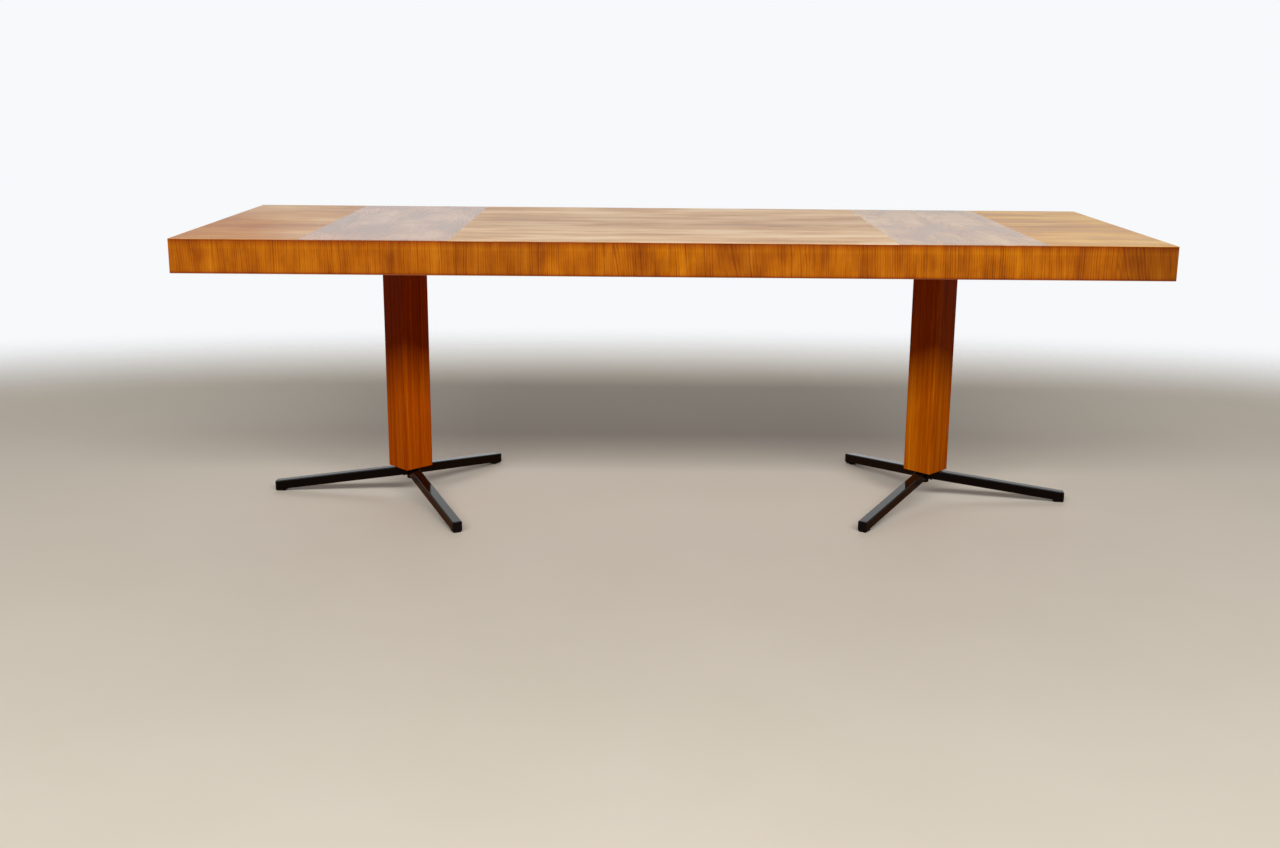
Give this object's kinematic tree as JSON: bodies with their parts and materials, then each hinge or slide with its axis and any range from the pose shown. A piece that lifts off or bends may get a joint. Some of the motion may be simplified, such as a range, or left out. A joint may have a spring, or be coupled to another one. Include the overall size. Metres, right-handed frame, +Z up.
{
  "type": "coffee table",
  "caption": "Long low coffee table with a thick wood-veneered top on diagonal square wooden posts and sloping black steel tripod feet.",
  "frame": {"origin": "middle of the table's footprint, on the floor", "axes": "+X along the table to the right as seen from the front, +Y to the back, +Z up"},
  "size_m": [1.5, 0.525, 0.472],
  "materials": {
    "face_veneer": "satin-lacquered warm brown veneer, grain along the table",
    "cross_veneer": "satin-lacquered veneer, grain across the table, greyer than the rest",
    "edge_veneer": "satin-lacquered orange-brown veneer with upright grain",
    "core_wood": "raw pale softwood and plywood, not visible",
    "post_wood": "satin-lacquered red-brown wood with upright grain",
    "black_lacquer": "glossy black lacquer on steel",
    "plain_steel": "plain zinc-plated steel",
    "blackened_steel": "blackened and oiled steel",
    "black_plastic": "black moulded plastic"
  },
  "bodies": {
    "root": {"left_end_leaf": "face_veneer", "centre_leaf": "face_veneer", "right_end_leaf": "face_veneer", "backing_veneer": "face_veneer", "left_cross_band": "cross_veneer", "right_cross_band": "cross_veneer", "front_edge_band": "edge_veneer", "back_edge_band": "edge_veneer", "left_edge_band": "edge_veneer", "right_edge_band": "edge_veneer", "upper_panel": "core_wood", "lower_panel": "core_wood", "front_rail": "core_wood", "back_rail": "core_wood", "left_end_rail": "core_wood", "right_end_rail": "core_wood", "left_mounting_block": "core_wood", "right_mounting_block": "core_wood", "left_post_board_back_right": "post_wood", "left_post_board_back_left": "post_wood", "left_post_board_front_left": "post_wood", "left_post_board_front_right": "post_wood", "left_post_foot_plug": "core_wood", "left_post_top_plug": "core_wood", "left_top_plate": "plain_steel", "left_plate_screw_1": "plain_steel", "left_plate_screw_2": "plain_steel", "left_plate_screw_3": "plain_steel", "left_plate_screw_4": "plain_steel", "left_plate_nut": "plain_steel", "left_tie_bolt": "blackened_steel", "left_bolt_washer": "blackened_steel", "left_hub": "black_lacquer", "left_outer_arm": "black_lacquer", "left_back_arm": "black_lacquer", "left_front_arm": "black_lacquer", "left_outer_arm_end_cap": "black_plastic", "left_back_arm_end_cap": "black_plastic", "left_front_arm_end_cap": "black_plastic", "right_post_board_back_right": "post_wood", "right_post_board_back_left": "post_wood", "right_post_board_front_left": "post_wood", "right_post_board_front_right": "post_wood", "right_post_foot_plug": "core_wood", "right_post_top_plug": "core_wood", "right_top_plate": "plain_steel", "right_plate_screw_1": "plain_steel", "right_plate_screw_2": "plain_steel", "right_plate_screw_3": "plain_steel", "right_plate_screw_4": "plain_steel", "right_plate_nut": "plain_steel", "right_tie_bolt": "blackened_steel", "right_bolt_washer": "blackened_steel", "right_hub": "black_lacquer", "right_outer_arm": "black_lacquer", "right_back_arm": "black_lacquer", "right_front_arm": "black_lacquer", "right_outer_arm_end_cap": "black_plastic", "right_back_arm_end_cap": "black_plastic", "right_front_arm_end_cap": "black_plastic"}
  },
  "joints": []
}
